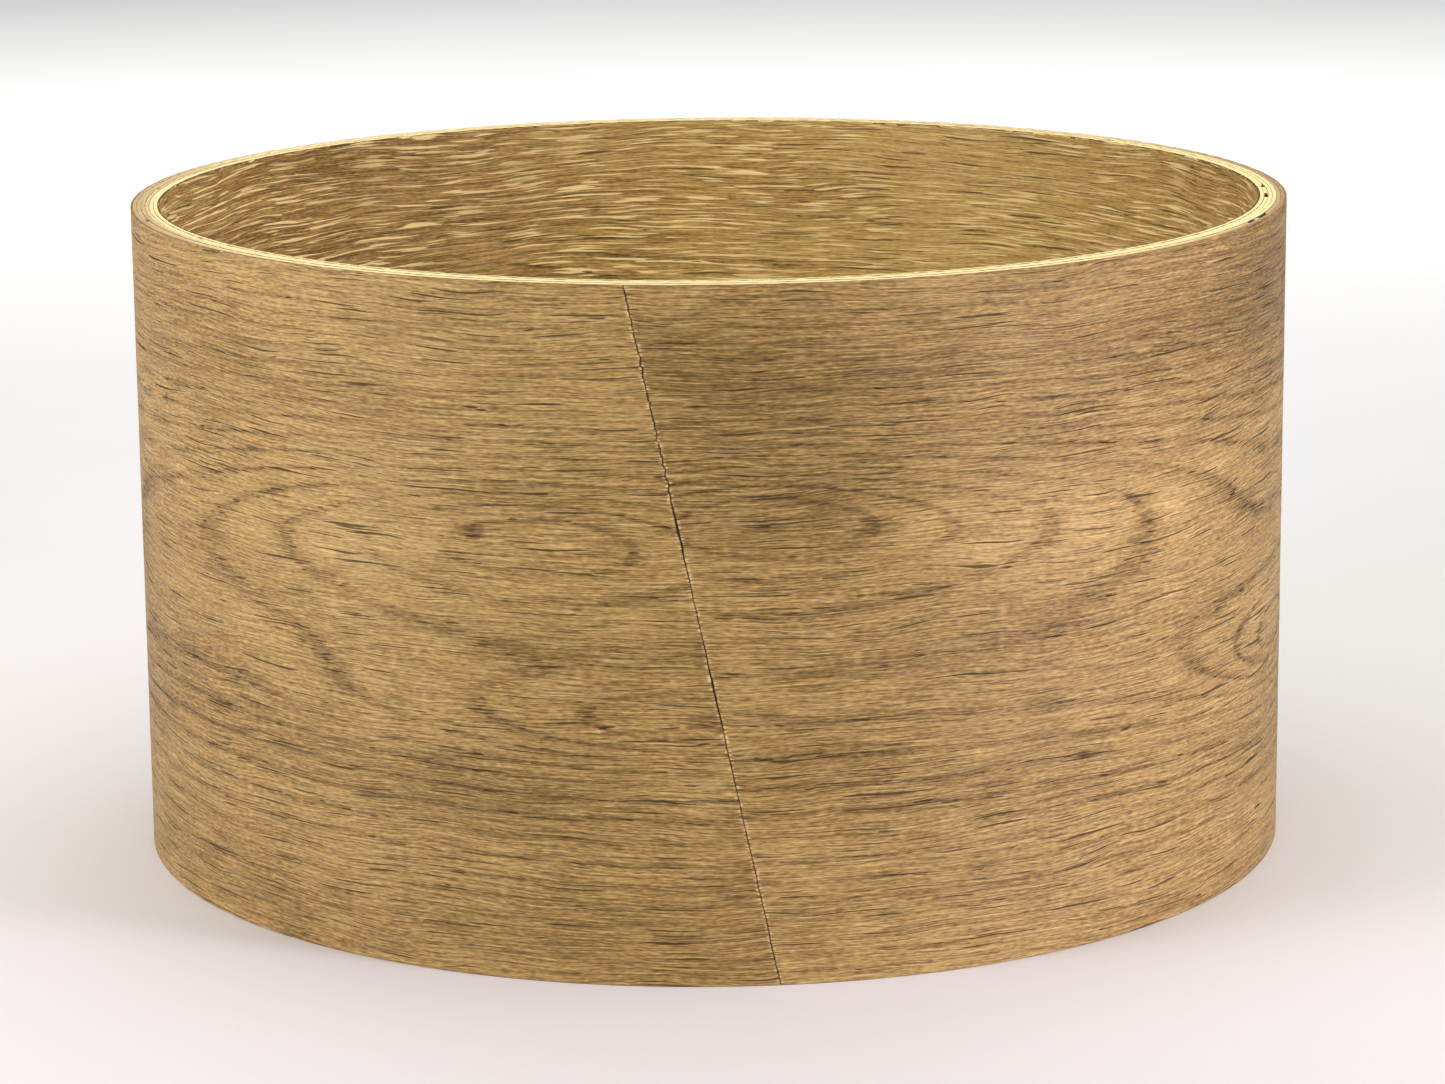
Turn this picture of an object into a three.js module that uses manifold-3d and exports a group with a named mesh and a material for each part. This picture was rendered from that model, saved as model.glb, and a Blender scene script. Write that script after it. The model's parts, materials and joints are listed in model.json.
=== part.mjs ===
// A bare laminated drum shell: sheets of veneer, each rolled into a ring inside the last one, glued together and cut
// square at both ends. The two face sheets are oak with their grain running round the shell. The six core sheets
// between them are laid up in balance, some with their grain upright and some with it running round.
//
// Millimetres. +Z is the shell's axis, pointing up, and the origin is the centre of the lower rim. Azimuths are in
// degrees from the front (-Y), positive towards +X.

import * as THREE from "three";
import { mergeVertices } from "three/addons/utils/BufferGeometryUtils.js";
import Module from "manifold-3d";

const wasm = await Module();
wasm.setup();

// Driving dimensions.
const OUTER_DIAMETER = 355; // a 14 inch shell, a little under size so that its heads slip on
const DEPTH = 200; // 8 inches, less what is trimmed off to make both rims square
const FACE_THICKNESS = 0.6;
const CORE_THICKNESS = 1.2;
const GLUE_LINE = 0.05;

// The two ends of each sheet meet in a slanted butt seam.
const SEAM_GAP = 0.3;
const SEAM_SLANT = 11.8; // degrees from upright, the upper end towards -X when seen from outside
const FIRST_SEAM = -0.9; // azimuth of the outer face's seam, at half depth
const SEAM_STAGGER = 163; // degrees from one sheet's seam to the next one's, so that no two line up

const FACETS = 120; // flat facets round every ring, with corners on both horizontal axes
const CUT_PAST_WALL = 6; // how far a seam's slot reaches past the sheet that it opens
const WELD_DISTANCE = 1e-4; // corners closer than this are one corner

// Finishes.
const OUTER_OAK = { color: 0xc0995f, roughness: 0.6, metalness: 0 };
const INNER_OAK = { color: 0xab8a50, roughness: 0.68, metalness: 0 };
const UPRIGHT_CORE = { color: 0xd3b988, roughness: 0.8, metalness: 0 };
const ROUND_CORE = { color: 0xebd7a4, roughness: 0.72, metalness: 0 };

// The core sheets' finishes, from the outermost one in. The order reads the same both ways, so the shell stays round.
const CORE = [UPRIGHT_CORE, ROUND_CORE, UPRIGHT_CORE, UPRIGHT_CORE, ROUND_CORE, UPRIGHT_CORE];

/** Turns a closed three.js geometry into a manifold-3d solid. */
function solidOf(geometry) {
  const bare = geometry.clone();
  bare.deleteAttribute("normal");
  bare.deleteAttribute("uv");
  const merged = mergeVertices(bare, WELD_DISTANCE);
  return new wasm.Manifold(
    new wasm.Mesh({
      numProp: 3,
      vertProperties: merged.attributes.position.array,
      triVerts: new Uint32Array(merged.index.array),
    }),
  );
}

/** Turns a manifold-3d solid back into a three.js geometry. */
function geometryOf(solid) {
  const { vertProperties, triVerts } = solid.getMesh();
  const geometry = new THREE.BufferGeometry();
  geometry.setAttribute("position", new THREE.BufferAttribute(vertProperties, 3));
  geometry.setIndex(new THREE.BufferAttribute(triVerts, 1));
  geometry.computeVertexNormals();
  return geometry;
}

/** A closed ring of the shell's full depth, standing on the XY plane. */
function ringSolid(outerRadius, thickness) {
  const innerRadius = outerRadius - thickness;
  const profile = [
    new THREE.Vector2(innerRadius, 0),
    new THREE.Vector2(outerRadius, 0),
    new THREE.Vector2(outerRadius, DEPTH),
    new THREE.Vector2(innerRadius, DEPTH),
    new THREE.Vector2(innerRadius, 0),
  ];
  return solidOf(new THREE.LatheGeometry(profile, FACETS).rotateX(Math.PI / 2));
}

/** The slanted slot that parts a ring at its seam. */
function seamSlot(outerRadius, thickness, azimuth) {
  const slant = THREE.MathUtils.degToRad(SEAM_SLANT);
  const length = (DEPTH + 2 * CUT_PAST_WALL) / Math.cos(slant);
  const slot = new THREE.BoxGeometry(SEAM_GAP, thickness + 2 * CUT_PAST_WALL, length);
  slot.rotateY(-slant);
  slot.translate(0, thickness / 2 - outerRadius, DEPTH / 2);
  slot.rotateZ(THREE.MathUtils.degToRad(azimuth));
  return solidOf(slot);
}

/** One rolled sheet of veneer: a ring that its seam has opened. */
function plyMesh({ name, thickness, finish }, outerRadius, seamAzimuth) {
  const sheet = ringSolid(outerRadius, thickness).subtract(
    seamSlot(outerRadius, thickness, seamAzimuth),
  );
  const mesh = new THREE.Mesh(geometryOf(sheet), new THREE.MeshStandardMaterial(finish));
  mesh.name = name;
  return mesh;
}

const layUp = [
  { name: "outer_face_ply", thickness: FACE_THICKNESS, finish: OUTER_OAK },
  ...CORE.map((finish, i) => ({ name: `core_ply_${i + 1}`, thickness: CORE_THICKNESS, finish })),
  { name: "inner_face_ply", thickness: FACE_THICKNESS, finish: INNER_OAK },
];

const shell = new THREE.Group();
let outerRadius = OUTER_DIAMETER / 2;
layUp.forEach((sheet, i) => {
  shell.add(plyMesh(sheet, outerRadius, FIRST_SEAM + i * SEAM_STAGGER));
  outerRadius -= sheet.thickness + GLUE_LINE;
});

export default shell;
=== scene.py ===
"""A bare oak-faced ply drum shell: its sheets of veneer in detail, built around the shell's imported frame."""

import json
import math

import bmesh
import bpy
import numpy as np
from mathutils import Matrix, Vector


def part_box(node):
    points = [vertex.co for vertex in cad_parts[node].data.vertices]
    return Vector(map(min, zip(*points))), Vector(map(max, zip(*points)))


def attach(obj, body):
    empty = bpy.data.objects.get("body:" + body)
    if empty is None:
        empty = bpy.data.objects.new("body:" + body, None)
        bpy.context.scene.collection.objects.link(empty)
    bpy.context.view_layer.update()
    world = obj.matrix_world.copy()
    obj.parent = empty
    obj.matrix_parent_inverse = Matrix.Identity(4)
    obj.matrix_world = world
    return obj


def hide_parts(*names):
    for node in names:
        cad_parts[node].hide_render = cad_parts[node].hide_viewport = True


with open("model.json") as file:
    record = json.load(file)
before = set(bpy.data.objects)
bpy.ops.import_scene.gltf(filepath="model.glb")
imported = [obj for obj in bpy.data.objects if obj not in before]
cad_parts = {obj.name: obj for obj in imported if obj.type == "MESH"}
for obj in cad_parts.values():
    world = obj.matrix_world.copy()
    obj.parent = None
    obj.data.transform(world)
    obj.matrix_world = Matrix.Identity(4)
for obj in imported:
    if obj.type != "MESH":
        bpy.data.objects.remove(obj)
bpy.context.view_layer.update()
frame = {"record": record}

# Lengths are in metres, except in names that end in _MM and in the sheet coordinates that the materials read,
# which are in millimetres. Azimuths are in degrees from the front (-Y), positive towards +X.
MM = 0.001

# The shell: its size from the frame, and its sheets and seams as they are in the CAD model.
OUTER_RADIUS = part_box("outer_face_ply")[1].x
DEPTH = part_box("outer_face_ply")[1].z
FACE_THICKNESS = 0.6 * MM
CORE_THICKNESS = 1.2 * MM
SEAM_SLANT = 11.8  # degrees from upright
FIRST_SEAM = -0.9  # azimuth of the outer sheet's seam at half depth
SEAM_STAGGER = 163  # degrees from each sheet's seam to the next sheet's
RIM_TOP = DEPTH - 0.25 * MM  # the sawn upper rim, which only raised fibres reach above
FLOOR_GAP = 0.05 * MM
SHARP_ANGLE = 34  # degrees between two faces, above which the edge between them looks sharp

# How much is gone from a sheet's corners: a core sheet's, a face veneer's, and down the latter's glued side.
CORE_CHAMFER = 0.07 * MM
FACE_CHAMFER = 0.12 * MM
GLUED_CHAMFER = 0.05 * MM
SAW_MARK = 0.03 * MM  # how deep the saw's marks on the rims are
CHIP_REACH = 1.3 * MM  # how far below the rim its broken edges pull the side's points down
TORN_FROM = 0.68 * DEPTH  # height above which the face veneers' seam edges are torn
TORN_FADE = 0.05 * DEPTH  # how much further up the tears have their full size

# Half the width of each seam. The front one is tight, with cracks: each is the height of its middle and its
# half length, as shares of the depth, and how far it opens to each side in millimetres.
PLAIN_GAP = 0.15 * MM
TIGHT_GAP_MM = 0.025
FRONT_CRACKS = (
    (0.655, 0.034, 0.18),
    (0.43, 0.040, 0.15),
)

# How far the sheets' first points are from a seam edge, and from a rim.
SEAM_STEPS_MM = (0, 0.3, 0.7, 1.3, 2.1, 3.2)
RIM_STEPS_MM = (0, 0.4, 0.9, 1.6)
FAR_FROM_SEAM_MM = 99.0  # the distance from the seam that raised fibres are given, so that the seam's glue stain, painted shade and painted highlight stay off them

# The hills that the growth rings climb, round the outer sheet and the inner one. Each is azimuth, height, half
# length in degrees, half height, and how many rings high it is. Heights are in millimetres.
OUTER_HILLS = (
    (2, 128, 52, 60, 3.0),
    (3, 137, 13, 15, 1.5),
    (7, 135, 25, 18, 2.1),
    (28, 133, 42, 22, 1.5),
    (74, 70, 13, 13, 1.8),
    (74, 71, 27, 19, 1.9),
    (82, 76, 50, 30, 1.7),
    (128, 118, 34, 26, 2.6),
    (133, 120, 16, 14, 1.6),
    (178, 84, 40, 24, 2.8),
    (171, 82, 17, 12, 1.7),
    (224, 116, 36, 26, 2.2),
    (228, 118, 15, 13, 1.5),
    (266, 74, 30, 20, 1.9),
    (322, 126, 44, 24, 1.1),
    (341, 129, 25, 19, 1.8),
    (346, 130, 13, 13, 1.3),
    (352, 120, 56, 60, 3.2),
    (357, 76, 40, 15, 1.9),
    (364, 75, 18, 11, 2.2),
)
INNER_HILLS = (
    (70, 110, 40, 30, 2.4),
    (128, 150, 44, 22, 2.2),
    (133, 152, 18, 11, 1.4),
    (176, 172, 36, 18, 1.6),
    (214, 146, 42, 24, 2.3),
    (209, 148, 16, 12, 1.5),
    (262, 100, 40, 26, 2.2),
    (310, 130, 36, 24, 2.0),
    (380, 90, 40, 26, 2.2),
)
RING_CENTRE_MM = 98  # height at which the sheets were sliced nearest the rings' tops
RING_SPREAD_MM = 30
INNER_SEAM_AZIMUTH = 60  # of the inner sheet's seam without its whole turns, where that sheet's figure starts

# Stains, and patches of painted shade and painted light: azimuth, height, half length in degrees, half height,
# and how much darker; a negative amount is lighter.
OUTER_STAINS_AND_PAINTED_SHADE = (
    (4, 176, 15, 34, 0.40),
    (9, 134, 10, 14, 0.30),
    (338, 128.5, 0.9, 1.5, 1.2),
    (68, 178, 30, 28, 0.42),
    # Darker down the middle of the front.
    (350, 40, 24, 50, 0.15),
    (352, 130, 13, 44, 0.10),
    (6, 90, 12, 60, 0.10),
    (325, 128, 16, 22, -0.18),
    (38, 130, 20, 14, -0.16),
    # A band darker all round the lower part: painted shade.
    (180, 45, 600, 45, 0.08),
)
INNER_STAINS_AND_PAINTED_LIGHT = (
    (165, 176, 9, 9, 0.30),
    (206, 168, 14, 8, 0.20),
    # Darker over the inside of the back wall towards -X: painted shade.
    (232, 150, 26, 80, 0.34),
    # Lighter over the inside of the back wall towards +X: painted light.
    (148, 160, 30, 60, -0.46),
)

# Slivers gone from the upper rim's edges: azimuth, length and depth in millimetres. More are drawn at random
# over the back. The face veneers' glued sides have a few of those, as deep as GLUED_CHIPS says.
OUTER_CHIPS = (
    (-57, 9, 0.7),
    (-52, 5, 0.45),
    (-36.5, 12, 0.55),
    (-20, 6, 0.3),
    (6, 10, 0.35),
    (13, 14, 0.5),
    (21.6, 9, 0.6),
    (41, 7, 0.4),
    (55, 8, 0.8),
    (60, 5, 0.5),
    (72, 12, 0.7),
    (83, 6, 0.6),
)
INNER_CHIPS = (
    (-84, 4, 0.9),
    (-78, 7, 0.7),
    (118, 9, 1.0),
    (124, 6, 0.8),
    (96, 5, 0.5),
)
CHIPPED_BACK = (95, 265)  # azimuths
GLUED_CHIPS = 0.3

# Splinters that stand out: azimuth, distance below the rim in millimetres, and size.
OUTER_SPLINTERS = (
    (-57, 2.2, 2.2),
    (-56.4, 2.6, 2.0),
    (-36.4, 1.0, 2.0),
    (-36.0, 1.3, 1.6),
    (-6.5, 0.6, 1.5),
    (2, 0.5, 1.4),
    (21.6, 0.5, 1.8),
    (60, 0.8, 2.0),
)
INNER_SPLINTERS = (
    (123, 0.2, 1.7),
    (121, 0.4, 1.6),
    (117, 0.3, 1.4),
    (-84, 0.4, 1.5),
    (-80, 0.5, 1.6),
    (92, 0.6, 1.5),
)

# Splits in the upper rim. For each core sheet: azimuth, length and depth in millimetres.
SPLITS = {
    2: ((66, 7, 1.4), (70, 11, 1.9), (-74, 6, 1.0)),
    4: ((-96, 6, 0.7), (150, 9, 0.6)),
    5: ((83.5, 7.5, 2.6), (90.5, 7, 2.4), (130, 8, 0.9), (-60, 6, 0.8)),
}

# Arcs of the rim where a core sheet's pale wood is tan: azimuth, half length in degrees, and how much.
TAN_ARCS = {
    1: ((85, 42, 1.0), (278, 36, 0.8)),
    2: ((95, 40, 0.8), (276, 32, 0.7)),
    3: ((274, 30, 0.7), (150, 20, 0.4)),
    4: ((265, 30, 0.5),),
}


# ------------------------------------------------------------------------------------------------
# Mesh helpers


def hills(azimuth, height_mm, bumps):
    """How many rings the bumps add at each azimuth and height."""
    total = np.zeros_like(azimuth)
    for centre, middle, half_length, half_height, rings in bumps:
        along = np.abs((azimuth - centre) / half_length)
        across = (height_mm - middle) / half_height
        total += rings * np.exp(-(along**1.7) - across**2)
    return total


def ring_field(azimuth, height_mm, bumps):
    """The growth ring that the sheet's surface cuts at each azimuth and height, as a smooth count."""
    fall = ((height_mm - RING_CENTRE_MM) / RING_SPREAD_MM) ** 2
    return hills(azimuth, height_mm, bumps) - fall


def degrees_from(azimuth, angle):
    """How many degrees each angle in radians lies past the azimuth, from -180 to 180."""
    return (np.degrees(angle) - azimuth + 180) % 360 - 180


def rough_line(points, step, size, seed):
    """Random offsets of about the given size at each point, drawn as a polyline with corners a step apart."""
    draws = np.random.default_rng(seed)
    knots = np.arange(points.min() - step, points.max() + 2 * step, step)
    return np.interp(points, knots, draws.normal(0, size, len(knots)))


def smooth_noise(angle, waves, size, seed):
    """A wavy offset round the ring, of about the given size, that closes on itself."""
    draws = np.random.default_rng(seed)
    total = np.zeros_like(angle)
    for wave in waves:
        total += np.sin(wave * angle + draws.uniform(0, 2 * math.pi))
    return total * size / math.sqrt(len(waves))


def mesh_object(name, points, faces):
    """A smooth-shaded object with its faces turned outwards, linked to the scene."""
    mesh = bpy.data.meshes.new(name)
    mesh.from_pydata(points.tolist(), [], faces)
    mesh.validate()
    shape = bmesh.new()
    shape.from_mesh(mesh)
    bmesh.ops.recalc_face_normals(shape, faces=shape.faces)
    shape.to_mesh(mesh)
    shape.free()
    mesh.polygons.foreach_set("use_smooth", [True] * len(mesh.polygons))
    mesh.set_sharp_from_angle(angle=math.radians(SHARP_ANGLE))
    piece = bpy.data.objects.new(name, mesh)
    bpy.context.scene.collection.objects.link(piece)
    return piece


def set_attribute(piece, name, kind, values):
    """Gives each of the piece's points a value, for its materials to read."""
    attribute = piece.data.attributes.new(name, kind, "POINT")
    key = "vector" if kind == "FLOAT_VECTOR" else "value"
    attribute.data.foreach_set(key, np.asarray(values, np.float32).ravel())


def zip_faces(left, right, share_left, share_right):
    """Triangles between two rising chains of points, whose shares say how far up each point is."""
    faces = []
    i = j = 0
    while i < len(left) - 1 or j < len(right) - 1:
        left_next = share_left[i + 1] if i < len(left) - 1 else math.inf
        right_next = share_right[j + 1] if j < len(right) - 1 else math.inf
        if left_next <= right_next:
            faces.append((left[i], left[i + 1], right[j]))
            i += 1
        else:
            faces.append((left[i], right[j + 1], right[j]))
            j += 1
    return faces


def sheet_columns(count, length):
    """Shares of the way round, packed more closely beside the two seam edges."""
    near = np.array(SEAM_STEPS_MM) * MM / length
    middle = np.linspace(near[-1], 1 - near[-1], count)
    return np.concatenate([near[:-1], middle, (1 - near[:-1])[::-1]])


class Ply:
    """One rolled sheet: a section of radius and height, swept from one seam edge right round to the other."""

    def __init__(self, order, node, thickness):
        self.node = node
        self.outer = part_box(node)[1].x
        self.inner = self.outer - thickness
        self.seam = FIRST_SEAM + order * SEAM_STAGGER
        self.seed = 100 + 10 * order

    def seam_angle(self, height):
        """Where the slanted seam is at each height, in radians."""
        offset = -(height - DEPTH / 2) * math.tan(math.radians(SEAM_SLANT))
        return math.radians(self.seam) + np.arcsin(offset / self.outer)

    def section(self, outer_heights, inner_heights, rim_columns, chamfer):
        """The section's loop: up the outer side, in over the upper rim, down, and out under the lower rim."""
        low, high = FLOOR_GAP, RIM_TOP
        across = np.linspace(self.outer - chamfer, self.inner + chamfer, rim_columns)
        outer_side = [(self.outer, z) for z in outer_heights]
        upper_rim = [(r, high) for r in across]
        inner_side = [(self.inner, z) for z in inner_heights[::-1]]
        lower_rim = [(r, low) for r in across[::-1]]
        self.outer_count = len(outer_side)
        return np.array(outer_side + upper_rim + inner_side + lower_rim)

    def build(self, name, section, columns, half_gap, ragged, relief, fibres=None):
        """Sweeps the section round the ring, from one seam edge to the other.

        half_gap and ragged give each seam edge's distance from the seam, relief moves the points, and fibres
        are points and faces to add to the mesh.
        """
        height = section[:, 1]
        seam = self.seam_angle(height)
        start = seam + (half_gap(height) + ragged(height, 0)) / self.outer
        end = seam + 2 * math.pi - (half_gap(height) + ragged(height, 1)) / self.outer
        angle = start + columns[:, None] * (end - start)
        radius, height = (np.broadcast_to(axis, angle.shape) for axis in section.T)
        from_edge = np.broadcast_to(np.minimum(columns, 1 - columns)[:, None], angle.shape)
        self.angle, self.radius, self.height = angle.ravel(), radius.ravel(), height.ravel()
        self.edge_mm = from_edge.ravel() * 2 * math.pi * self.outer / MM
        radius, height = relief(self.angle, self.radius, self.height)
        faces = self.faces(len(columns), len(section))
        if fibres:
            faces += [[corner + len(self.angle) for corner in face] for face in fibres[1]]
            radius, height = self.add_fibres(fibres[0], radius, height)
        points = np.stack([radius * np.sin(self.angle), -radius * np.cos(self.angle), height], -1)
        return mesh_object(name, points, faces)

    def add_fibres(self, points, radius, height):
        """Adds the fibres' points to the sheet's own, and to the moved radii and heights that it returns."""
        angle, out, up = points.T
        self.angle = np.append(self.angle, angle)
        self.radius = np.append(self.radius, out)
        self.height = np.append(self.height, up)
        self.edge_mm = np.append(self.edge_mm, np.full(len(points), FAR_FROM_SEAM_MM))
        return np.append(radius, out), np.append(height, up)

    def faces(self, rows, loop):
        """Quads between the sweep's sections, and triangles that close it at each seam edge."""
        cell = np.arange(rows - 1)[:, None] * loop
        here = np.arange(loop)
        after = (here + 1) % loop
        quads = np.stack([cell + here, cell + loop + here, cell + loop + after, cell + after], -1)
        rising = list(range(self.outer_count))
        other = list(range(loop - 1, self.outer_count - 1, -1))
        up = np.linspace(0, 1, len(rising))
        rest = np.linspace(0, 1, len(other))
        start_cap = zip_faces(rising, other, up, rest)
        last = (rows - 1) * loop
        end_cap = [(c + last, b + last, a + last) for a, b, c in start_cap]
        return quads.reshape(-1, 4).tolist() + start_cap + end_cap

    def coordinates(self, piece):
        """The materials' own axes, in millimetres: round the sheet, up it, and in through it."""
        values = np.stack([self.angle * self.outer, self.height, self.outer - self.radius], -1) / MM
        set_attribute(piece, "sheet", "FLOAT_VECTOR", values)
        set_attribute(piece, "edge", "FLOAT", self.edge_mm)


# ------------------------------------------------------------------------------------------------
# The veneer sheets


def side_heights(count, chamfer, torn_count=3):
    """Heights up a side, from just above the lower rim to just below the upper one, finer at both ends.

    The middle has count of them up to where the seams start to tear, and torn_count from there up.
    """
    low, high = FLOOR_GAP + chamfer, RIM_TOP - chamfer
    ends = np.array(RIM_STEPS_MM) * MM
    middle = np.linspace(low + 2.6 * MM, TORN_FROM, count)
    torn = np.linspace(TORN_FROM, high - 2.2 * MM, torn_count)[1:]
    return np.concatenate([low + ends, middle, torn, (high - ends)[::-1]])


def front_gap(height):
    """Half the width of the front seam, which has sprung open in two places and is tight elsewhere."""
    half_width_mm = TIGHT_GAP_MM
    for middle, half_length, opening in FRONT_CRACKS:
        half_width_mm = half_width_mm + opening * np.exp(-(((height / DEPTH - middle) / half_length) ** 4))
    return half_width_mm * MM


def plain_gap(height):
    """Half the width of the other seams."""
    return np.full_like(height, PLAIN_GAP)


def torn_edge(seed):
    """The two edges of a seam: slightly ragged, and torn in small upright steps near the upper rim."""
    draws = np.random.default_rng(seed)
    steps = TORN_FROM + np.cumsum(np.append(0, draws.uniform(1.3, 3.4, 50))) * MM

    def ragged(height, side):
        away = -1 if side else 1
        step = np.clip(np.searchsorted(steps, height), 1, len(steps) - 1)
        torn = np.clip((height - TORN_FROM) / TORN_FADE, 0, 1)
        upright = (height - (steps[step - 1] + steps[step]) / 2) * math.tan(math.radians(SEAM_SLANT))
        shared = rough_line(height, 4.0 * MM, 0.06 * MM, seed + 3)
        own = np.abs(rough_line(height, 1.1 * MM, MM, seed + 1 + side)) * (0.02 + 0.05 * torn)
        return (upright * torn + shared) * away + own

    return ragged


def straight_edge(height, side):
    """A seam edge without any raggedness."""
    return np.zeros_like(height)


def chip_depth(angle, seed, count, chosen=()):
    """How far slivers have broken away below the rim's edge, round the ring."""
    draws = np.random.default_rng(seed)
    azimuths = draws.uniform(*CHIPPED_BACK, count)
    lengths = draws.uniform(4, 13, count)
    depths = draws.uniform(0.2, 0.8, count)
    total = np.zeros_like(angle)
    for azimuth, length, depth in (*chosen, *zip(azimuths, lengths, depths)):
        away = degrees_from(azimuth, angle)
        share = np.abs(np.radians(away) * OUTER_RADIUS / MM) / (length / 2)
        total = np.maximum(total, depth * np.clip(1.15 - share**3, 0, 1))
    return total * MM


def face_relief(ply, chips_outside, chips_inside):
    """Wavy surface, saw marks on the rims, and slivers gone from the rims' edges."""

    def relief(angle, radius, height):
        sunk = 0.04 * MM * (0.5 + 0.5 * np.sin(9 * angle + 31 * height / DEPTH))
        outside = radius > (ply.outer + ply.inner) / 2
        radius = np.where(outside, radius - sunk, radius)
        share = np.clip((height - (RIM_TOP - CHIP_REACH)) / CHIP_REACH, 0, 1)
        drop = np.where(outside, chips_outside(angle), chips_inside(angle))
        saw = smooth_noise(angle, (61, 97, 143, 210), SAW_MARK, ply.seed)
        height = height - share * (drop + 0.05 * MM + saw)
        return radius, height

    return relief


def raised_fibres(radius, outward, places, seed):
    """Fibres that stand out from an edge of the upper rim: thin bent needles, with a three-sided section."""
    draws = np.random.default_rng(seed)
    points, faces = [], []
    for azimuth, below_mm, size in places:
        first = len(points)
        length = draws.uniform(0.9, 2.2) * MM * size
        width = draws.uniform(0.06, 0.11) * MM * size
        way = draws.choice((-1, 1))
        lift = outward * draws.uniform(0.15, 0.40) * length
        root = RIM_TOP - (0.15 + below_mm) * MM
        rise = min(draws.uniform(-0.1, 0.45) * length, DEPTH - root - 2 * width)
        for share, thick in ((0, 1), (0.5, 0.8), (1, 0)):
            angle = math.radians(azimuth) + way * share * length / radius
            for turn in np.radians((90, 210, 330)[: 3 if thick else 1]):
                out = radius + lift * share**1.6 + width * thick * math.cos(turn) * 0.6
                # No fibre stands out past the box round the shell.
                out = min(out, OUTER_RADIUS / max(abs(math.sin(angle)), abs(math.cos(angle))))
                up = root + rise * share + width * thick * math.sin(turn)
                points.append((angle, out, up))
        sides = ((0, 2, 1), (0, 1, 4, 3), (1, 2, 5, 4), (2, 0, 3, 5), (3, 4, 6), (4, 5, 6), (5, 3, 6))
        faces += [[first + corner for corner in side] for side in sides]
    return np.array(points), faces


def fibre_places(seed, count, chosen=()):
    """The chosen fibres and others at random: azimuth, distance below the rim in millimetres, and size."""
    draws = np.random.default_rng(seed)
    azimuths = draws.uniform(0, 360, count)
    below_mm = draws.exponential(0.25, count)
    sizes = draws.uniform(0.35, 1.0, count)
    return [*chosen, *zip(azimuths, below_mm, sizes)]


def outer_face(ply):
    """The outer oak veneer, with the slanted seam in front."""
    shown = side_heights(64, FACE_CHAMFER, 78)
    glued = side_heights(6, GLUED_CHAMFER)
    section = ply.section(shown, glued, 3, FACE_CHAMFER)
    columns = sheet_columns(560, 2 * math.pi * ply.outer)
    relief = face_relief(
        ply,
        lambda angle: chip_depth(angle, 5, 26, OUTER_CHIPS),
        lambda angle: chip_depth(angle, 6, 8) * GLUED_CHIPS,
    )
    fibres = raised_fibres(ply.outer, 1, fibre_places(11, 90, OUTER_SPLINTERS), 12)
    piece = ply.build("outer_face_veneer", section, columns, front_gap, torn_edge(40), relief, fibres)
    ply.coordinates(piece)
    azimuth, height_mm = np.degrees(ply.angle), ply.height / MM
    set_attribute(piece, "ring", "FLOAT", ring_field(azimuth, height_mm, OUTER_HILLS))
    set_attribute(piece, "stain_and_painted_light", "FLOAT", hills(azimuth, height_mm, OUTER_STAINS_AND_PAINTED_SHADE))
    return piece


def inner_face(ply):
    """The inner oak veneer, whose seam is out of the photograph's view."""
    glued = side_heights(6, GLUED_CHAMFER)
    shown = side_heights(58, FACE_CHAMFER, 46)
    section = ply.section(glued, shown, 3, FACE_CHAMFER)
    columns = sheet_columns(520, 2 * math.pi * ply.outer)
    relief = face_relief(
        ply,
        lambda angle: chip_depth(angle, 7, 8) * GLUED_CHIPS,
        lambda angle: chip_depth(angle, 8, 40, INNER_CHIPS),
    )
    fibres = raised_fibres(ply.inner, -1, fibre_places(13, 150, INNER_SPLINTERS), 14)
    piece = ply.build("inner_face_veneer", section, columns, plain_gap, torn_edge(50), relief, fibres)
    ply.coordinates(piece)
    azimuth = np.degrees(ply.angle - math.radians(ply.seam)) + INNER_SEAM_AZIMUTH
    height_mm = ply.height / MM
    set_attribute(piece, "ring", "FLOAT", ring_field(azimuth, height_mm, INNER_HILLS))
    set_attribute(piece, "stain_and_painted_light", "FLOAT", hills(azimuth, height_mm, INNER_STAINS_AND_PAINTED_LIGHT))
    return piece


def core_relief(ply, order):
    """Saw marks, and splits that open part of the sheet's width, on the upper rim."""

    def relief(angle, radius, height):
        share = (ply.outer - radius) / (ply.outer - ply.inner)
        top = height > RIM_TOP - 2 * CORE_CHAMFER
        level = (0.06 * (order % 3) - 0.02) * MM
        drop = level + smooth_noise(angle, (73, 118, 171, 233), SAW_MARK, ply.seed)
        for azimuth, length, depth in SPLITS.get(order, ()):
            away = degrees_from(azimuth, angle)
            reach = np.abs(np.radians(away) * ply.outer / MM) / (length / 2)
            middle = np.exp(-(((share - 0.5) / 0.38) ** 6))
            drop = drop + depth * MM * np.clip(1.2 - reach**2, 0, 1) * middle
        return radius, np.where(top, height - drop, height)

    return relief


def core_sheet(ply, order):
    """A core veneer, of which the rims are all that shows."""
    side = side_heights(3, CORE_CHAMFER)
    section = ply.section(side, side, 6, CORE_CHAMFER)
    columns = sheet_columns(1300, 2 * math.pi * ply.outer)
    relief = core_relief(ply, order)
    piece = ply.build(f"core_veneer_{order}", section, columns, plain_gap, straight_edge, relief)
    ply.coordinates(piece)
    tan = np.zeros_like(ply.angle)
    for azimuth, half_length, share in TAN_ARCS.get(order, ()):
        away = degrees_from(azimuth, ply.angle)
        tan += share * np.exp(-((away / half_length) ** 4))
    set_attribute(piece, "tan", "FLOAT", tan)
    return piece


# ------------------------------------------------------------------------------------------------
# Materials


def linear(*srgb):
    """A colour given as 0 to 255 sRGB, as the linear RGBA that nodes take."""
    channels = [c / 255 for c in srgb]
    return (*[c / 12.92 if c <= 0.04045 else ((c + 0.055) / 1.055) ** 2.4 for c in channels], 1)


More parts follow.
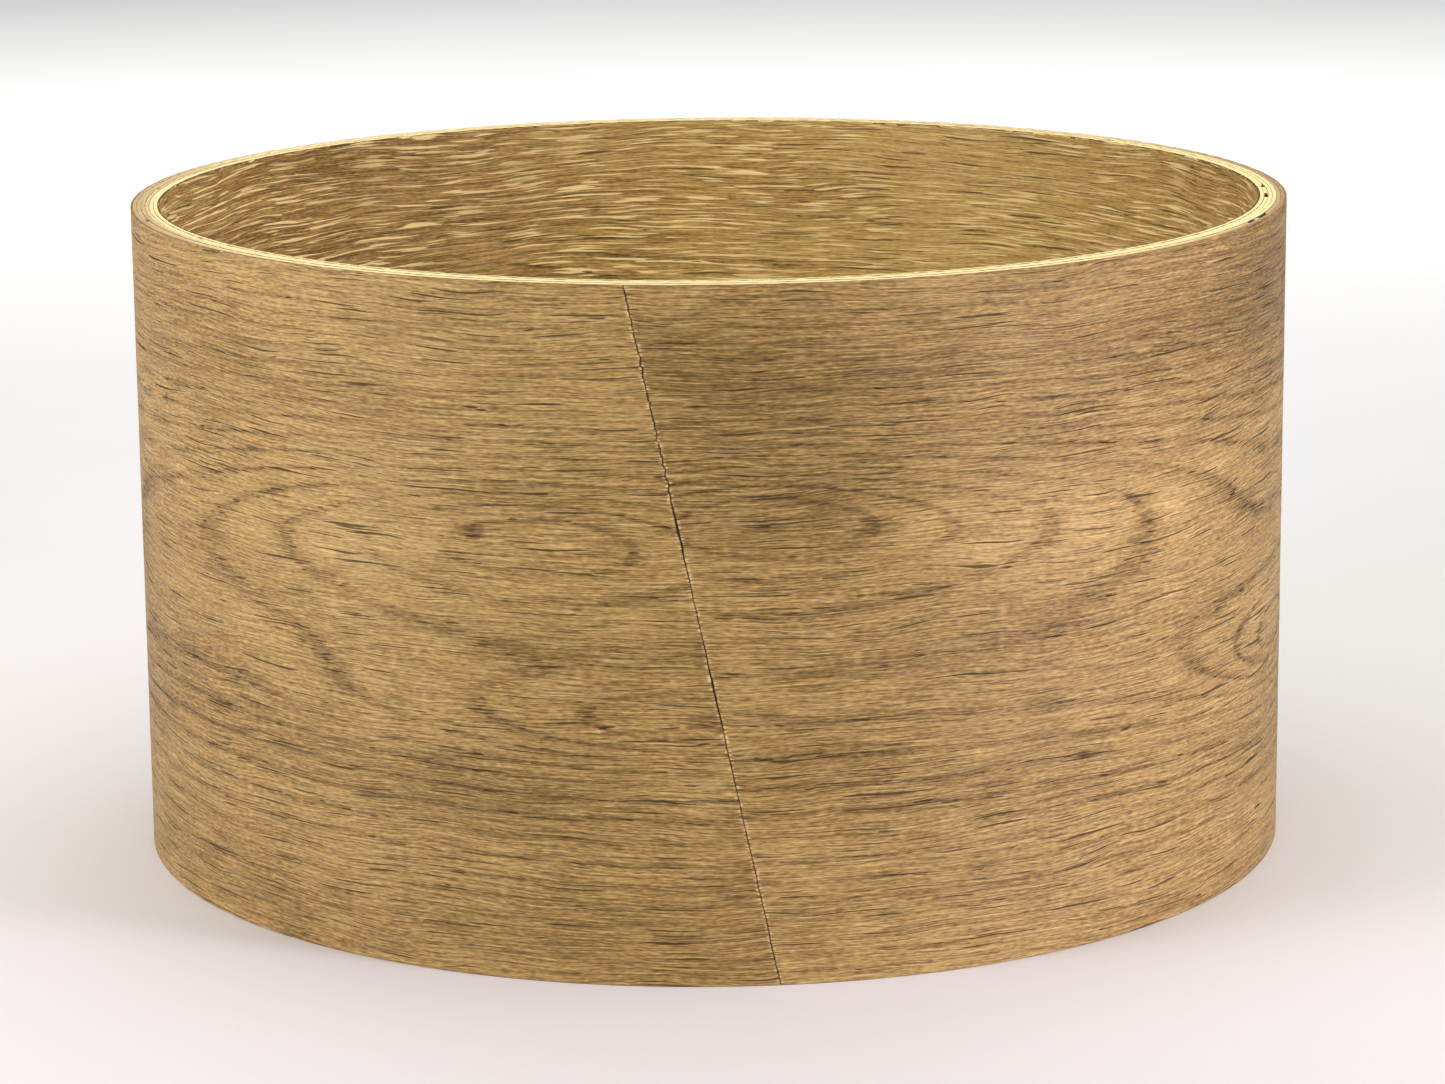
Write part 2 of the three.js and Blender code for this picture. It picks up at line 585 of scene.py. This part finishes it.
class Shader:
    """A material under construction. Every method takes sockets or plain values, and gives back a socket."""

    def __init__(self, name):
        self.material = bpy.data.materials.new(name)
        self.material.use_nodes = True
        self.tree = self.material.node_tree
        self.surface = self.tree.nodes["Principled BSDF"]

    def node(self, kind, inputs, output=0, **settings):
        """Adds a node with its inputs and settings, and gives back the output of that name or number."""
        made = self.tree.nodes.new(kind)
        for key, value in settings.items():
            setattr(made, key, value)
        for key, value in inputs.items():
            self.plug(made.inputs[key], value)
        return made.outputs[output]

    def plug(self, socket, value):
        if isinstance(value, bpy.types.NodeSocket):
            self.tree.links.new(value, socket)
        else:
            socket.default_value = value

    def attribute(self, name, output="Fac"):
        """A value that the mesh's points carry."""
        return self.node("ShaderNodeAttribute", {}, output, attribute_name=name)

    def rim_point(self):
        """Where a point of a rim is on its sheet: round it and in through it."""
        inputs = {0: self.attribute("sheet", "Vector"), 1: (1, 0, 1)}
        return self.node("ShaderNodeVectorMath", inputs, operation="MULTIPLY")

    def math(self, operation, *values):
        return self.node("ShaderNodeMath", dict(enumerate(values)), operation=operation)

    def stretched(self, point, size, shift=(0, 0, 0)):
        """The point with its axes divided by the sizes, so that a texture's features come out that long."""
        scaled = self.node("ShaderNodeVectorMath", {0: point, 1: [1 / s for s in size]}, operation="MULTIPLY")
        return self.node("ShaderNodeVectorMath", {0: scaled, 1: shift}, operation="ADD")

    def noise(self, point, size, detail=2.0, roughness=0.5, shift=(0, 0, 0)):
        """Noise whose largest features are as long, high and deep as the size."""
        inputs = {"Vector": self.stretched(point, size, shift), "Scale": 1.0}
        inputs |= {"Detail": detail, "Roughness": roughness}
        return self.node("ShaderNodeTexNoise", inputs, noise_dimensions="3D")

    def between(self, value, low, high, to_low=0.0, to_high=1.0, smooth=True):
        """The value carried over from low..high to to_low..to_high."""
        inputs = {"Value": value, "From Min": low, "From Max": high, "To Min": to_low, "To Max": to_high}
        kind = "SMOOTHSTEP" if smooth else "LINEAR"
        return self.node("ShaderNodeMapRange", inputs, interpolation_type=kind)

    def ramp(self, value, stops):
        """The colour at the value, between stops that are each a place and a colour or a shade of grey."""
        made = self.tree.nodes.new("ShaderNodeValToRGB")
        band = made.color_ramp
        while len(band.elements) < len(stops):
            band.elements.new(0.5)
        for element, (place, colour) in zip(band.elements, stops):
            element.position = place
            element.color = colour if isinstance(colour, tuple) else (colour, colour, colour, 1)
        self.plug(made.inputs[0], value)
        return made.outputs[0]

    def mix(self, share, low, high):
        """The colour that is the given share of the way from low to high."""
        return self.node("ShaderNodeMix", {0: share, 6: low, 7: high}, 2, data_type="RGBA")

    def finish(self, colour, roughness, height, depth_mm, strength=1.0):
        """Wires up the surface, whose bump is depth_mm deep for each 1 of height."""
        inputs = {"Height": height, "Strength": strength, "Distance": depth_mm * MM}
        self.plug(self.surface.inputs["Base Color"], colour)
        self.plug(self.surface.inputs["Roughness"], roughness)
        self.plug(self.surface.inputs["Normal"], self.node("ShaderNodeBump", inputs))
        self.surface.inputs["Specular IOR Level"].default_value = 0.35
        return self.material


def grain_lines(s, sheet):
    """The sheet's coordinates, bent up and down as its fibres wander, and the long waves of that bend."""
    wander = s.math("SUBTRACT", s.noise(sheet, (90, 36, 9)), 0.5)
    ripple = s.math("SUBTRACT", s.noise(sheet, (18, 6, 9), shift=(3, 7, 0)), 0.5)
    lift = s.math("MULTIPLY_ADD", wander, 9.0, ripple)
    shift = s.node("ShaderNodeCombineXYZ", {"Y": lift})
    grain = s.node("ShaderNodeVectorMath", {0: sheet, 1: shift}, operation="ADD")
    return grain, wander


def early_wood(s, sheet, grain, wander):
    """How much open spring wood is cut, 0 to 1. Its dark bands draw the growth rings."""
    fuzz = s.math("SUBTRACT", s.noise(grain, (4, 0.7, 9), 2, 0.6), 0.5)
    bend = s.math("ADD", s.math("MULTIPLY", fuzz, 0.26), s.math("MULTIPLY", wander, 0.5))
    phase = s.math("FRACT", s.math("ADD", s.attribute("ring"), bend))
    band = s.ramp(phase, ((0.0, 0.35), (0.05, 1.0), (0.14, 0.95), (0.28, 0.15), (0.85, 0.0), (1.0, 0.35)))
    patchy = s.between(s.noise(sheet, (55, 16, 9), shift=(11, 0, 0)), 0.35, 0.65, 0.5, 1.0)
    height_mm = s.node("ShaderNodeSeparateXYZ", {0: sheet}, 1)
    from_middle = s.math("ABSOLUTE", s.between(height_mm, 0, DEPTH / MM, -1, 1, smooth=False))
    calm = s.between(from_middle, 0.45, 0.85, 1.0, 0.5)
    return s.math("MULTIPLY", s.math("MULTIPLY", band, patchy), calm)


def open_pores(s, grain, early):
    """Long pores all over and short ones in the early wood, 0 to 1, and a band round the long ones that stands
    for their raised lips and a painted highlight on them.
    """
    long_noise = s.noise(grain, (32, 0.82, 9), 1, 0.45, shift=(21, 3, 0))
    short_noise = s.noise(grain, (9, 0.66, 9), 1, 0.5, shift=(2, 9, 0))
    threshold = s.math("MULTIPLY_ADD", early, -0.15, 0.74)
    short_pores = s.between(s.math("SUBTRACT", short_noise, threshold), 0.0, 0.035)
    pores = s.math("MAXIMUM", s.between(long_noise, 0.655, 0.69), short_pores)
    return pores, s.between(long_noise, 0.53, 0.63)


def fibre_streaks_and_highlight(s, sheet, grain):
    """Short pale fibres that stand up from the surface in clusters, 0 to 1; their paleness is partly a painted
    highlight of light grazing them.
    """
    fibres = s.between(s.noise(grain, (20, 0.9, 9), 1, 0.5, shift=(8, 1, 0)), 0.555, 0.61)
    cluster = s.between(s.noise(sheet, (60, 22, 9), shift=(4, 6, 0)), 0.34, 0.54, 0.35, 1.0)
    return s.math("MULTIPLY", fibres, cluster)


def wood_tone(s, grain, contrast, fibre, speck, lip_relief_and_highlight, early):
    """How light the wood is, 0 to 1, from its fibres, streaks, clouds, specks, the painted highlight on the
    pores' lips, rings, and its stains with painted light and shade.
    """
    streak = s.noise(grain, (40, 1.5, 9), 3, 0.55, shift=(5, 2, 0))
    cloud = s.noise(grain, (120, 26, 9), 2, 0.5, shift=(1, 4, 0))
    tone = 0.482
    noises = ((fibre, 0.34 * contrast), (streak, 0.20 * contrast), (cloud, 0.34), (speck, 0.72))
    for noise, share in noises:
        tone = s.math("MULTIPLY_ADD", s.math("SUBTRACT", noise, 0.5), share, tone)
    # The pores' lips are lightened here as a painted highlight.
    marks = ((lip_relief_and_highlight, 0.12), (early, -0.20 * contrast), (s.attribute("stain_and_painted_light"), -0.5))
    for mark, share in marks:
        tone = s.math("MULTIPLY_ADD", mark, share, tone)
    return tone


def seam_glue_and_painted_light(s, sheet, speck, colour, pore_colour, fibre_and_highlight_colour):
    """The colour with pale specks just beside the seam's edges that are a painted highlight, darker patches
    along it that are glue stain and also painted shade of the crack, and its dark cut edge, glue that is also
    painted shade.
    """
    from_seam = s.attribute("edge")
    highlight_specks = s.between(speck, 0.5, 0.62, 0.0, 0.8)
    seam_patches = s.between(s.noise(sheet, (9, 5, 9), 2, 0.6, shift=(6, 6, 0)), 0.40, 0.60, 0.25, 0.9)
    # Pale specks within about a millimetre of the seam's edges: a painted highlight where the edges catch the
    # light.
    painted_highlight_beside_seam = s.math("MULTIPLY", s.between(from_seam, 0.3, 1.3, 1.0, 0.0), highlight_specks)
    # Darker patches within 0.4 mm of the seam: glue stain, and painted shade of the seam's crack.
    glue_stain_and_painted_shade = s.math("MULTIPLY", s.between(from_seam, 0.05, 0.40, 1.0, 0.0), seam_patches)
    colour = s.mix(painted_highlight_beside_seam, colour, fibre_and_highlight_colour)
    colour = s.mix(glue_stain_and_painted_shade, colour, pore_colour)
    # The last 0.08 mm at the edge goes near-black brown: glue, and painted shade of the crack.
    return s.mix(s.between(from_seam, 0.0, 0.08, 1.0, 0.0), colour, linear(40, 26, 10))


def face_oak(name, tones, pore_colour, fibre_and_highlight_colour, fibres, contrast):
    """Plain-sliced oak. fibres is how much its pale raised fibres, with the painted highlight on them, show,
    and contrast is how strong its figure is.
    """
    s = Shader(name)
    sheet = s.attribute("sheet", "Vector")
    grain, wander = grain_lines(s, sheet)
    early = early_wood(s, sheet, grain, wander)
    pores, lip_relief_and_highlight = open_pores(s, grain, early)
    raised_and_highlight = s.math("MULTIPLY", fibre_streaks_and_highlight(s, sheet, grain), fibres)
    fibre = s.between(s.noise(grain, (18, 0.48, 9), 2, 0.6), 0.28, 0.72)
    speck = s.noise(grain, (2.6, 0.5, 9), 1, 0.5, shift=(7, 7, 0))

    colour = s.ramp(wood_tone(s, grain, contrast, fibre, speck, lip_relief_and_highlight, early), tones)
    # The raised fibres' pale colour, partly a painted highlight.
    colour = s.mix(raised_and_highlight, colour, fibre_and_highlight_colour)
    colour = s.mix(s.math("MULTIPLY", pores, 0.82), colour, pore_colour)
    colour = seam_glue_and_painted_light(s, sheet, speck, colour, pore_colour, fibre_and_highlight_colour)

    height = s.math("MULTIPLY_ADD", fibre, 0.30, s.math("MULTIPLY", raised_and_highlight, 0.35))
    height = s.math("MULTIPLY_ADD", lip_relief_and_highlight, 0.15, height)
    height = s.math("SUBTRACT", height, pores)
    roughness = s.math("MULTIPLY_ADD", pores, 0.25, s.between(fibre, 0.3, 0.7, 0.50, 0.64))
    return s.finish(colour, roughness, height, 0.32)


def sawn_edge(name, light, dark):
    """The face veneers' sawn edges: rough and dark, in streaks along the grain."""
    s = Shader(name)
    flat = s.rim_point()
    streak = s.noise(flat, (4, 9, 0.3), 3, 0.65)
    colour = s.mix(s.between(streak, 0.3, 0.7), dark, light)
    return s.finish(colour, s.between(streak, 0.2, 0.8, 0.7, 0.9), streak, 0.1)


def core_colour(s, tone, pore):
    """Cream wood that goes over to tan where the sheet's tan attribute says, with darker pores."""
    cream = s.mix(tone, linear(244, 216, 146), linear(255, 241, 180))
    tan = s.mix(tone, linear(140, 110, 74), linear(196, 166, 122))
    colour = s.mix(s.attribute("tan"), cream, tan)
    return s.mix(s.math("MULTIPLY", pore, 0.6), colour, linear(110, 78, 40))


def end_grain(name):
    """Sawn across upright fibres: open pores as dots in bands, with saw marks over them."""
    s = Shader(name)
    flat = s.rim_point()
    cloud = s.noise(flat, (6, 9, 0.8), 3, 0.6)
    fine = s.noise(flat, (0.35, 9, 0.3), 2, 0.6, shift=(3, 0, 1))
    inputs = {"Vector": s.stretched(flat, (0.9, 1, 0.45)), "Scale": 1.0}
    cells = s.node("ShaderNodeTexVoronoi", inputs).node.outputs
    draws = s.node("ShaderNodeSeparateColor", {0: cells["Color"]}).node.outputs
    reach = s.between(draws[1], 0, 1, 0.12, 0.42, smooth=False)
    pore = s.between(s.math("SUBTRACT", reach, cells["Distance"]), 0.0, 0.14)
    pore = s.math("MULTIPLY", pore, s.math("LESS_THAN", draws[0], 0.5))
    tone = s.between(s.math("MULTIPLY_ADD", fine, 0.5, s.math("MULTIPLY", cloud, 0.6)), 0.3, 0.8)
    height = s.math("SUBTRACT", s.math("MULTIPLY", fine, 0.5), pore)
    return s.finish(core_colour(s, tone, pore), s.between(fine, 0.2, 0.8, 0.7, 0.9), height, 0.12)


def long_grain(name):
    """Sawn along the fibres: fine streaks round the rim, and a few torn ones."""
    s = Shader(name)
    flat = s.rim_point()
    streak = s.noise(flat, (9, 9, 0.22), 4, 0.6)
    fine = s.noise(flat, (2.2, 9, 0.1), 2, 0.6, shift=(2, 0, 5))
    torn = s.between(s.noise(flat, (5, 9, 0.3), 3, 0.6, shift=(9, 0, 3)), 0.62, 0.72)
    tone = s.between(s.math("MULTIPLY_ADD", fine, 0.35, s.math("MULTIPLY", streak, 0.75)), 0.35, 0.75)
    height = s.math("SUBTRACT", s.math("MULTIPLY", streak, 0.6), torn)
    return s.finish(core_colour(s, tone, torn), s.between(fine, 0.2, 0.8, 0.62, 0.8), height, 0.12)


def glue_film(name, dark, light):
    """Dried glue, in blotches between the two colours given; given near-black ones, it is painted shade over
    the glue.
    """
    s = Shader(name)
    sheet = s.attribute("sheet", "Vector")
    blotch = s.noise(sheet, (2, 2, 2), 3, 0.6)
    colour = s.mix(s.between(blotch, 0.35, 0.65), dark, light)
    return s.finish(colour, s.between(blotch, 0, 1, 0.5, 0.8), blotch, 0.05)


def floor_paper(name):
    """Matt pale board, with the faintest mottling."""
    s = Shader(name)
    place = s.node("ShaderNodeTexCoord", {}, "Object")
    mottle = s.noise(place, (0.35, 0.35, 0.35), 4, 0.55)
    tooth = s.noise(place, (0.0012, 0.0012, 0.0012), 2, 0.5)
    colour = s.mix(mottle, linear(240, 239, 238), linear(247, 247, 246))
    return s.finish(colour, 0.75, tooth, 0.02, 0.3)


# ------------------------------------------------------------------------------------------------
# The pieces

outer_oak = face_oak(
    "outer_oak",
    (
        (0.0, linear(88, 64, 26)),
        (0.30, linear(143, 113, 61)),
        (0.52, linear(188, 154, 91)),
        (0.75, linear(221, 187, 121)),
        (1.0, linear(246, 216, 146)),
    ),
    linear(58, 38, 14),
    # The pale fibres' colour, also used for their painted highlight and for the painted highlight beside the
    # seam.
    linear(244, 212, 154),
    0.16,
    1.0,
)
inner_oak = face_oak(
    "inner_oak",
    (
        (0.0, linear(96, 70, 28)),
        (0.30, linear(148, 118, 62)),
        (0.52, linear(188, 155, 89)),
        (0.75, linear(208, 176, 106)),
        (1.0, linear(236, 208, 142)),
    ),
    linear(84, 60, 20),
    # The pale fibres' colour, also used for their painted highlight and for the painted highlight beside the
    # seam.
    linear(252, 228, 162),
    1.0,
    1.3,
)
outer_edge = sawn_edge("outer_sawn_edge", linear(176, 140, 92), linear(104, 76, 40))
inner_edge = sawn_edge("inner_sawn_edge", linear(120, 88, 44), linear(60, 38, 14))
# Near-black glue on the core sheets' glued sides, which show only down the seam gaps and inside the splits:
# painted shade of those gaps and splits, over the glue.
glue_and_painted_shade = glue_film("glue_and_painted_shade_in_seams", linear(5, 3, 1), linear(24, 15, 7))
glue_line = glue_film("glue_between_the_sheets", linear(150, 116, 66), linear(214, 182, 118))
core_looks = (
    end_grain("end_grain_1"),
    long_grain("long_grain_2"),
    end_grain("end_grain_3"),
    end_grain("end_grain_4"),
    long_grain("long_grain_5"),
    end_grain("end_grain_6"),
)


def settle(piece, node, slot, *materials):
    """Gives the piece its materials and body, and hides the part that it stands for."""
    for material in materials:
        piece.data.materials.append(material)
    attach(piece, "root")
    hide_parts(node)


def repaint(piece, index, chosen):
    """Puts the piece's material of that index on the faces that chosen picks."""
    for face in piece.data.polygons:
        if chosen(face):
            face.material_index = index


def sawn(face):
    """Whether a face of a face veneer is on one of its sawn rims."""
    return abs(face.normal.z) > 0.6 and (face.center.z > RIM_TOP - 1.5 * MM or face.center.z < MM)


def beside_glue(ply, margin):
    """Picks the faces that lie within the margin of the sheet's two wide sides."""
    middle = (ply.outer + ply.inner) / 2
    reach = (ply.outer - ply.inner) / 2 - margin
    return lambda face: abs(math.hypot(face.center.x, face.center.y) - middle) > reach


def in_split(face):
    """Whether a face of a core sheet is inside one of its splits."""
    return RIM_TOP - 5 * MM < face.center.z < RIM_TOP - 0.55 * MM


slots = {part["node"]: part["material_slot"] for part in frame["record"]["subparts"]}
outer_ply = Ply(0, "outer_face_ply", FACE_THICKNESS)
outer_piece = outer_face(outer_ply)
settle(outer_piece, outer_ply.node, slots[outer_ply.node], outer_oak, outer_edge)
repaint(outer_piece, 1, sawn)
for order, look in enumerate(core_looks, 1):
    core_ply = Ply(order, f"core_ply_{order}", CORE_THICKNESS)
    core_piece = core_sheet(core_ply, order)
    settle(core_piece, core_ply.node, slots[core_ply.node], look, glue_line, glue_and_painted_shade)
    repaint(core_piece, 1, beside_glue(core_ply, 0.8 * CORE_CHAMFER))
    # The near-black glue goes on the glued sides and inside the splits, as painted shade.
    repaint(core_piece, 2, beside_glue(core_ply, 0.1 * CORE_CHAMFER))
    repaint(core_piece, 2, in_split)
inner_ply = Ply(7, "inner_face_ply", FACE_THICKNESS)
inner_piece = inner_face(inner_ply)
settle(inner_piece, inner_ply.node, slots[inner_ply.node], inner_oak, inner_edge)
repaint(inner_piece, 1, sawn)


# ------------------------------------------------------------------------------------------------
# Stage, light and camera

FLOOR_REACH = 9.0

# The camera, fitted to the shell's outline: its lens, its distance back and up in outer radii, and its turn in
# radians.
LENS_MM = 114.35
CAMERA_BACK = 7.9376
CAMERA_UP = 2.2757
YAW, PITCH, ROLL = 0.0023, -0.2203, -0.0094

SKY_COLOUR = (0.95, 0.97, 1.0, 1)
SKY_STRENGTH = 0.17


def floor():
    """A board much wider than the view, on which the shell stands."""
    mesh = bpy.data.meshes.new("floor")
    corners = [(x * FLOOR_REACH, y * FLOOR_REACH, 0) for x, y in ((-1, -1), (1, -1), (1, 1), (-1, 1))]
    mesh.from_pydata(corners, [], [(0, 1, 2, 3)])
    board = bpy.data.objects.new("floor", mesh)
    bpy.context.scene.collection.objects.link(board)
    mesh.materials.append(floor_paper("floor_paper"))


# Each light's name, place, aim, width and height, spread in degrees, power in watts, and colour.
LIGHTS = (
    ("backdrop", (0.0, 1.5, 1.3), (0, 2.05, 0), (3.0, 0.8), 180, 34, (1.0, 1.0, 1.0)),
    ("overhead", (0.0, 0.1, 0.9), (0, 0.05, 0), (0.9, 0.9), 180, 5.4, (1.0, 0.97, 0.94)),
    ("front", (0.0, -1.9, 0.9), (0, 0, 0.1), (1.2, 0.8), 70, 0.68, (0.80, 1.0, 0.04)),
    ("left", (-0.95, -0.45, 0.36), (-0.1, -0.1, 0.1), (0.5, 0.6), 180, 2.75, (0.86, 0.80, 1.0)),
    ("left_high", (-0.85, -0.6, 0.65), (-0.1, -0.1, 0.12), (0.4, 0.4), 180, 3.2, (1.0, 0.86, 0.96)),
    ("right", (0.85, -0.55, 0.36), (0.06, -0.15, 0.1), (0.25, 0.6), 46, 0.66, (0.86, 0.74, 1.0)),
    ("right_floor", (0.85, -0.1, 1.0), (0.8, -0.1, 0.0), (0.5, 0.7), 180, 2.0, (1.0, 0.96, 0.97)),
)


def soft_light(name, place, aim, size, spread, power, colour):
    """A rectangular lamp that faces its aim."""
    lamp = bpy.data.lights.new(name, "AREA")
    lamp.shape = "RECTANGLE"
    lamp.size, lamp.size_y = size
    lamp.spread = math.radians(spread)
    lamp.energy = power
    lamp.color = colour
    holder = bpy.data.objects.new(name, lamp)
    bpy.context.scene.collection.objects.link(holder)
    holder.location = place
    direction = holder.location - Vector(aim)
    holder.rotation_euler = direction.to_track_quat("Z", "Y").to_euler()


def camera():
    """The photograph's camera."""
    lens = bpy.data.cameras.new("camera")
    lens.sensor_width = 36.0
    lens.lens = LENS_MM
    lens.clip_start = 0.05
    holder = bpy.data.objects.new("camera", lens)
    bpy.context.scene.collection.objects.link(holder)
    place = Vector((0, -CAMERA_BACK * OUTER_RADIUS, CAMERA_UP * OUTER_RADIUS))
    ahead = (math.sin(YAW) * math.cos(PITCH), math.cos(YAW) * math.cos(PITCH), math.sin(PITCH))
    turn = (-Vector(ahead)).to_track_quat("Z", "Y").to_matrix().to_4x4()
    holder.matrix_world = Matrix.Translation(place) @ turn @ Matrix.Rotation(ROLL, 4, "Z")
    bpy.context.scene.camera = holder


def surroundings():
    """A dim, even sky, and colours shown as they are."""
    world = bpy.data.worlds.new("studio")
    world.use_nodes = True
    background = world.node_tree.nodes["Background"]
    background.inputs["Color"].default_value = SKY_COLOUR
    background.inputs["Strength"].default_value = SKY_STRENGTH
    bpy.context.scene.world = world
    bpy.context.scene.view_settings.view_transform = "Standard"


floor()
for light in LIGHTS:
    soft_light(*light)
surroundings()
camera()
